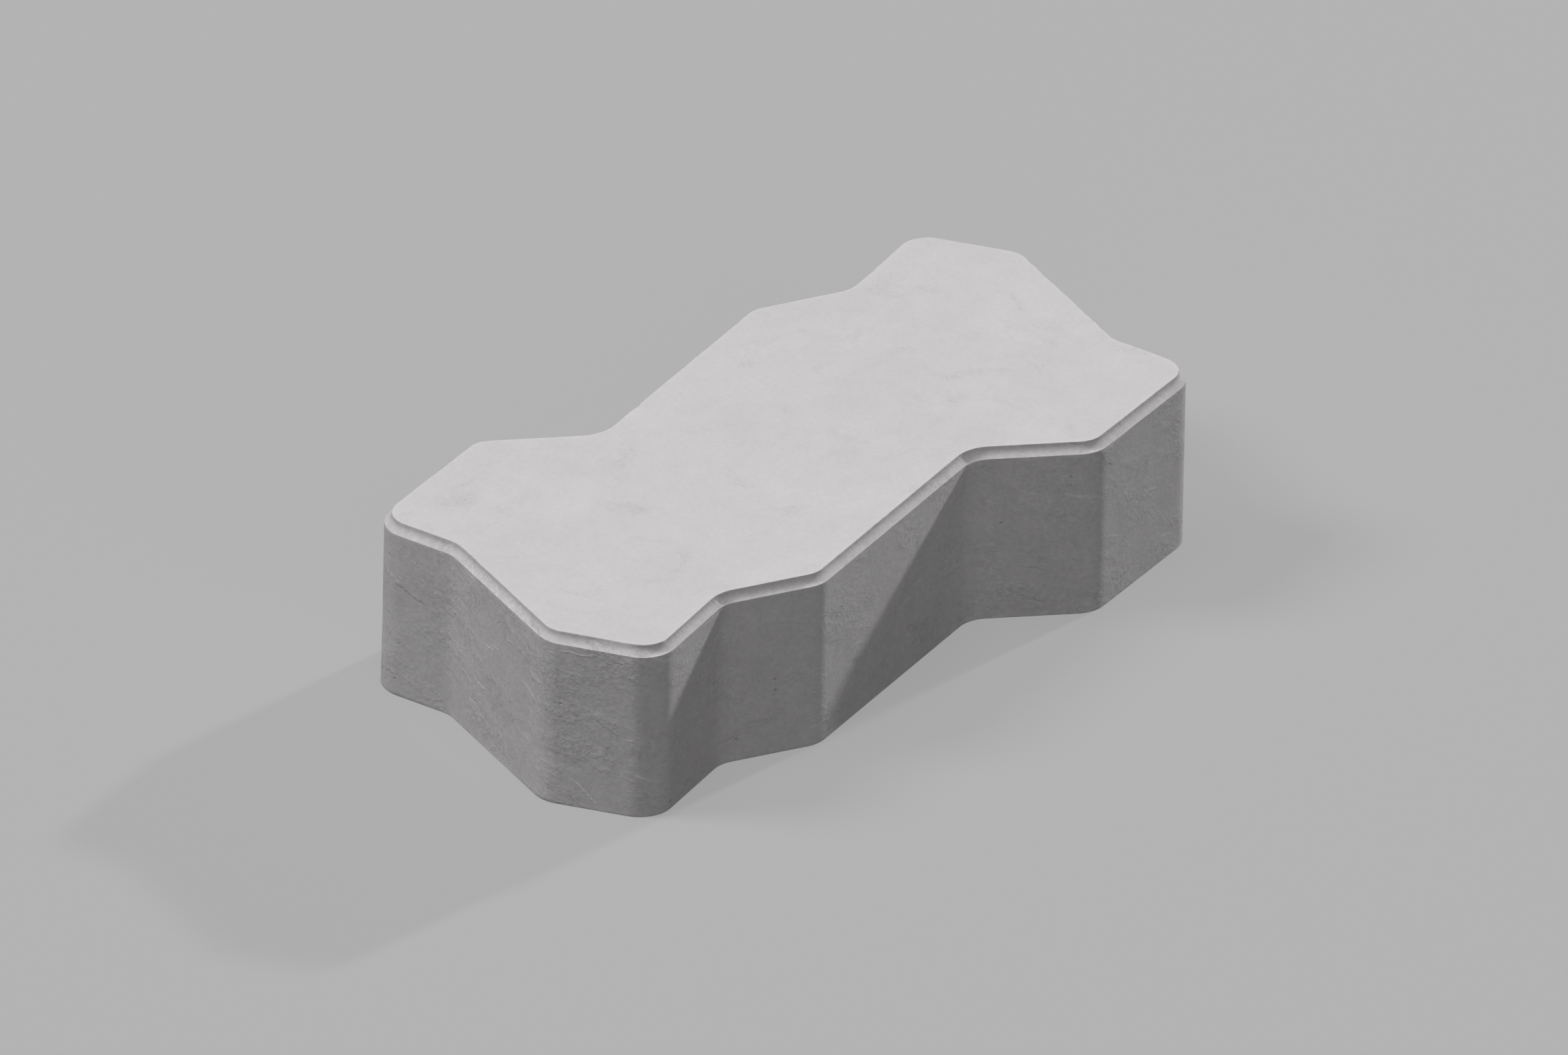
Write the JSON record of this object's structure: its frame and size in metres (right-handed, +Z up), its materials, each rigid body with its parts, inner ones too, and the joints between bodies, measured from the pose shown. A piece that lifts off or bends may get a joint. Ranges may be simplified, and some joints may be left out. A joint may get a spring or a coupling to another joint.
{
  "type": "concrete paving stone",
  "caption": "Cast concrete paving stone with a zig-zag interlocking outline, rounded upright edges and a shallow cove round its flat top.",
  "frame": {"origin": "centre of the bedding face, under the middle of the stone", "axes": "+X along the stone's length, +Y across its width, +Z up from the bedding face to the top face"},
  "size_m": [0.275, 0.1394, 0.06],
  "materials": {
    "concrete": "plain light grey cast concrete, matt, with fine pits and scratches"
  },
  "bodies": {
    "root": {"paving_stone": "concrete"}
  },
  "joints": []
}
